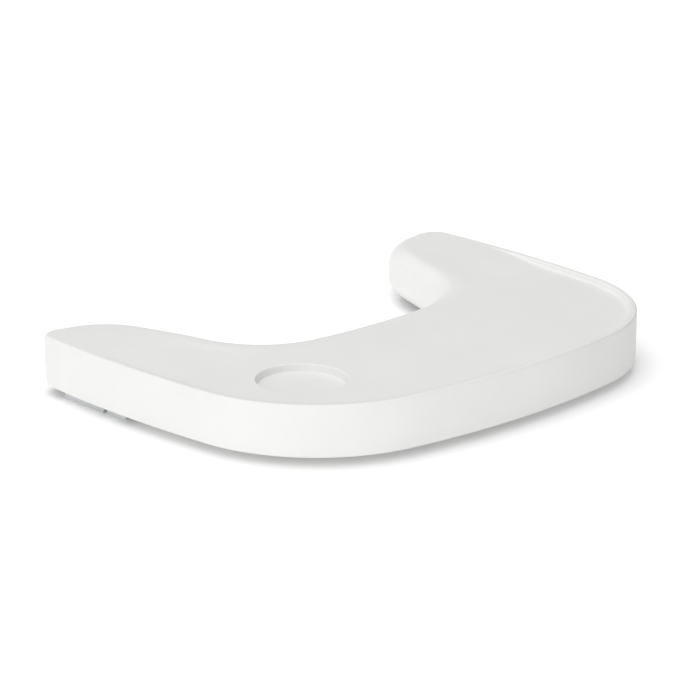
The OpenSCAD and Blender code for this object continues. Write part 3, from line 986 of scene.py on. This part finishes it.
def spring_route(per_turn=36, leg_steps=6):
    coil = []
    for i in range(TURNS * per_turn + 1):
        a = pi / 2 - 2 * pi * i / per_turn
        y = COIL_FROM + (COIL_TO - COIL_FROM) * i / (TURNS * per_turn)
        coil.append(Vector((PIN_X + COIL_R * cos(a), y, PIN_Z + COIL_R * sin(a))))
    under_plate = Vector((PIN_X - LEG_REACH, COIL_FROM, PLATE_LOW - 2 * WIRE_R))
    over_blade = Vector((BLADE_OUT - 2, COIL_TO, BLADE_TOP + 2 * WIRE_R))
    first = [under_plate.lerp(coil[0], k / leg_steps) for k in range(leg_steps)]
    last = [coil[-1].lerp(over_blade, k / leg_steps) for k in range(1, leg_steps + 1)]
    return first + coil + last


for side, sign in SIDES.items():
    wire = Skin()
    tube(wire, spring_route(), WIRE_R)
    spring = closed_solid(f"torsion_spring_{side}", wire, sign)
    coat(spring, spring_wire, 60)
    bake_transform(spring)
    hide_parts(f"latch_spring_{side}")

# %% [markdown]
# ## Screws
# All the screws are one kind: a zinc-plated pan head with a cross recess and a coarse thread
# for plastic. One is made in full, with the recess cut into its head, and then copied to
# every place, longer or shorter. Only the heads are seen, but a thread costs a few rings.

# %% Pan-head screws
SCREW_R, HEAD_H, THREAD_PITCH, BITE = 1.5, 1.8, 1.25, 11.0
SLOT_L, SLOT_W, SLOT_TAPER, SLOT_DEPTH = 1.9, 0.38, 0.55, 1.0
TURN_PER_MM = 0.7


def screw_piece(name, length):
    """A screw that points up, with its head's seat at the origin."""
    thread = []
    turns = int(length / THREAD_PITCH)
    for k in range(turns):
        h = length - k * THREAD_PITCH
        thread += [(SCREW_R - 0.35, h), (SCREW_R, h - 0.45 * THREAD_PITCH)]
    head = [(SCREW_R - 0.35, 0.0), (HEAD_R - 0.1, 0.0), (HEAD_R, -0.15), (HEAD_R, -0.6),
            (HEAD_R - 0.25, -1.15), (HEAD_R - 0.8, -1.5), (HEAD_R - 1.6, -1.7), (0.5, -HEAD_H)]
    skin = Skin()
    lathe(skin, [(0.5, length)] + thread + head, along_z, 32)
    made = closed_solid(name, skin)
    for turned in (False, True):
        cross = Skin()
        corners = [(-SLOT_L, -SLOT_W), (SLOT_L, -SLOT_W), (SLOT_L, SLOT_W), (-SLOT_L, SLOT_W)]
        if turned:
            corners = [(y, x) for x, y in corners]
        low = cross.ring([(x, y, -HEAD_H - 0.1) for x, y in corners])
        high = cross.ring([(x * SLOT_TAPER, y * SLOT_TAPER, -HEAD_H + SLOT_DEPTH) for x, y in corners])
        cross.bridge(low, high)
        cross.cap(low)
        cross.cap(high)
        cut(made, closed_solid("cross_recess", cross))
    return made


def screw_group(name, node, places, length):
    """Copies of one screw at several places, each stopped at its own angle, as one piece."""
    one = screw_piece(name, length)
    work = bmesh.new()
    for x, y, z in places:
        fresh = bmesh.new()
        fresh.from_mesh(one.data)
        turn = Matrix.Rotation(TURN_PER_MM * (x + 2 * y), 3, "Z")
        bmesh.ops.rotate(fresh, verts=fresh.verts, cent=(0, 0, 0), matrix=turn)
        bmesh.ops.translate(fresh, verts=fresh.verts, vec=Vector((x, y, z)) * MM)
        copy = bpy.data.meshes.new("copy")
        fresh.to_mesh(copy)
        fresh.free()
        work.from_mesh(copy)
        bpy.data.meshes.remove(copy)
    work.to_mesh(one.data)
    work.free()
    finish_piece(one, zinc_steel, "tray", 35)
    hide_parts(node)
    print(f"{name}: {len(places)} screws of {length} mm")


TAB_T, PLATE_T, COVER_T = 2.5, 3.0, 2.5
screw_group("sheet_screws", "cover_screws",
            [(x, y, COVER_Z) for x, y in both_sides(COVER_SCREWS)], COVER_T + BITE)
screw_group("feet_screws", "foot_screws",
            [(x, y, FOOT_SINK) for x, y in both_sides(FEET)], FOOT_BOSS_TOP - FOOT_SINK)
lift = [0, 0, -TAB_T]
for side, sign in SIDES.items():
    screw_group(f"clip_screws_{side}", f"housing_screws_{side}",
                [(sign * x, y, PLATE_LOW + dz) for (x, y), dz in zip(HOUSING_SCREWS, lift)], PLATE_T + BITE)
